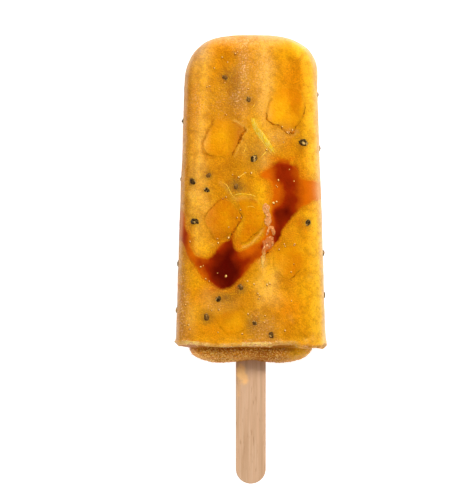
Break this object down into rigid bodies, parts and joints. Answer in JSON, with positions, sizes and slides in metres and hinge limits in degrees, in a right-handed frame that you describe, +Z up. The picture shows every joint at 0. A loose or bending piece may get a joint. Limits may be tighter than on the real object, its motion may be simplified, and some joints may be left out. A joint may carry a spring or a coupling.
{
  "type": "fruit ice lolly",
  "caption": "Fluted fruit ice lolly with mango pieces, a ribbon of dark puree and seeds frozen into it, on a flat wooden stick, lying on its back.",
  "frame": {"origin": "on the surface that the lolly lies on, in the middle of its length and width", "axes": "+X across the lolly, to the right of its shown face; +Y along it, towards the rounded top; +Z up, out of the shown face"},
  "size_m": [0.0507, 0.1496, 0.0233],
  "materials": {
    "ice": "frozen fruit juice, damp and slightly cloudy",
    "mango": "frozen mango flesh, damp",
    "puree": "frozen fruit puree, glossy",
    "wood": "bare birch, fine straight grain"
  },
  "bodies": {
    "root": {"ice": "ice", "stick": "wood", "puree_ribbon": "puree", "mango_pulp": "mango", "mango_fibre": "mango", "mango_front_1": "mango", "mango_front_2": "mango", "mango_front_3": "mango", "mango_front_4": "mango", "mango_front_5": "mango", "mango_back_1": "mango", "mango_back_2": "mango", "mango_back_3": "mango", "mango_back_4": "mango"}
  },
  "joints": []
}
